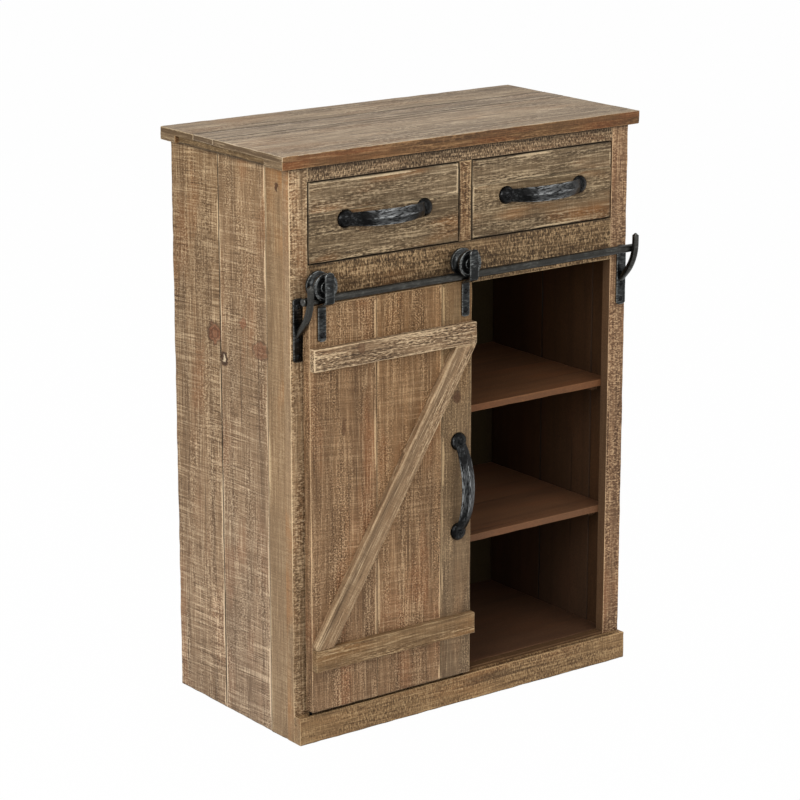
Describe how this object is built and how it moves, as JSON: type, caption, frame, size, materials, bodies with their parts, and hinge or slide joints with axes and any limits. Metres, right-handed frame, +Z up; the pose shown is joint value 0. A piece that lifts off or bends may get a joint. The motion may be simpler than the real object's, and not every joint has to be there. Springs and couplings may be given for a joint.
{
  "type": "sliding door storage cabinet",
  "caption": "Rustic plank storage cabinet with bow-pull drawers over open shelves and a braced plank door that rolls along a rod track on grooved rollers.",
  "frame": {"origin": "middle of the whole object's footprint, on the floor", "axes": "+X to the right of someone facing the cabinet, +Y to the back, +Z up"},
  "size_m": [0.6, 0.3318, 0.8],
  "materials": {
    "top_wood": "weathered, satin",
    "carcass_wood": "weathered, matte",
    "door_wood": "weathered, matte",
    "batten_wood": "rough sawn, matte",
    "drawer_front_wood": "weathered, matte",
    "inner_wood": "dark stain, matte",
    "graphite_track_steel": "brushed graphite, satin",
    "cast_pull_iron": "black, semi-gloss",
    "dark_fastener_steel": "black, satin"
  },
  "bodies": {
    "carcass": {"back_panel": "inner_wood", "baseboard": "carcass_wood", "bottom_rail": "carcass_wood", "drawer_divider": "carcass_wood", "drawer_rail": "carcass_wood", "floor_panel": "inner_wood", "left_drawer_runner": "inner_wood", "left_side_board_front": "carcass_wood", "left_side_board_middle": "carcass_wood", "left_side_board_rear": "carcass_wood", "left_stile": "carcass_wood", "left_track_bracket": "graphite_track_steel", "lower_shelf": "inner_wood", "middle_drawer_runner": "inner_wood", "right_drawer_runner": "inner_wood", "right_side_board_front": "carcass_wood", "right_side_board_middle": "carcass_wood", "right_side_board_rear": "carcass_wood", "right_stile": "carcass_wood", "right_track_bracket": "graphite_track_steel", "shelf_cleats": "inner_wood", "top_board_front": "top_wood", "top_board_middle": "top_wood", "top_board_rear": "top_wood", "top_front_strip": "top_wood", "top_left_strip": "top_wood", "top_rail": "carcass_wood", "top_rear_strip": "top_wood", "top_right_strip": "top_wood", "track_rod": "graphite_track_steel", "upper_shelf": "inner_wood"},
    "barn_door": {"door_board_left": "door_wood", "door_board_middle": "door_wood", "door_board_right": "door_wood", "door_bottom_batten": "batten_wood", "door_brace": "batten_wood", "door_guide_pins": "dark_fastener_steel", "door_pull": "cast_pull_iron", "door_top_batten": "batten_wood", "left_hanger_strap": "graphite_track_steel", "right_hanger_strap": "graphite_track_steel", "roller_axles": "dark_fastener_steel"},
    "left_drawer": {"left_drawer_back": "inner_wood", "left_drawer_bottom": "inner_wood", "left_drawer_front": "drawer_front_wood", "left_drawer_front_upper": "drawer_front_wood", "left_drawer_left_side": "inner_wood", "left_drawer_pull": "cast_pull_iron", "left_drawer_right_side": "inner_wood"},
    "left_roller": {"left_roller": "graphite_track_steel"},
    "right_drawer": {"right_drawer_back": "inner_wood", "right_drawer_bottom": "inner_wood", "right_drawer_front": "drawer_front_wood", "right_drawer_front_upper": "drawer_front_wood", "right_drawer_left_side": "inner_wood", "right_drawer_pull": "cast_pull_iron", "right_drawer_right_side": "inner_wood"},
    "right_roller": {"right_roller": "graphite_track_steel"}
  },
  "joints": [
    {"name": "left_drawer_slide", "type": "slide", "parent": "carcass", "child": "left_drawer", "axis": [0, -1, 0], "range_m": [0, 0.19]},
    {"name": "right_drawer_slide", "type": "slide", "parent": "carcass", "child": "right_drawer", "axis": [0, -1, 0], "range_m": [0, 0.19]},
    {"name": "door_slide", "type": "slide", "parent": "carcass", "child": "barn_door", "axis": [1, 0, 0], "range_m": [0, 0.2685]},
    {"name": "left_roller_spin", "type": "hinge", "parent": "barn_door", "child": "left_roller", "pos_m": [-0.251, -0.13915, 0.629], "axis": [0, 1, 0], "range_deg": [0, 1240.6]},
    {"name": "right_roller_spin", "type": "hinge", "parent": "barn_door", "child": "right_roller", "pos_m": [-0.016, -0.13915, 0.629], "axis": [0, 1, 0], "range_deg": [0, 1240.6]}
  ],
  "couplings": [
    {"joint": "left_roller_spin", "follows": "door_slide", "rad_per_m": 80.643},
    {"joint": "right_roller_spin", "follows": "door_slide", "rad_per_m": 80.643}
  ]
}
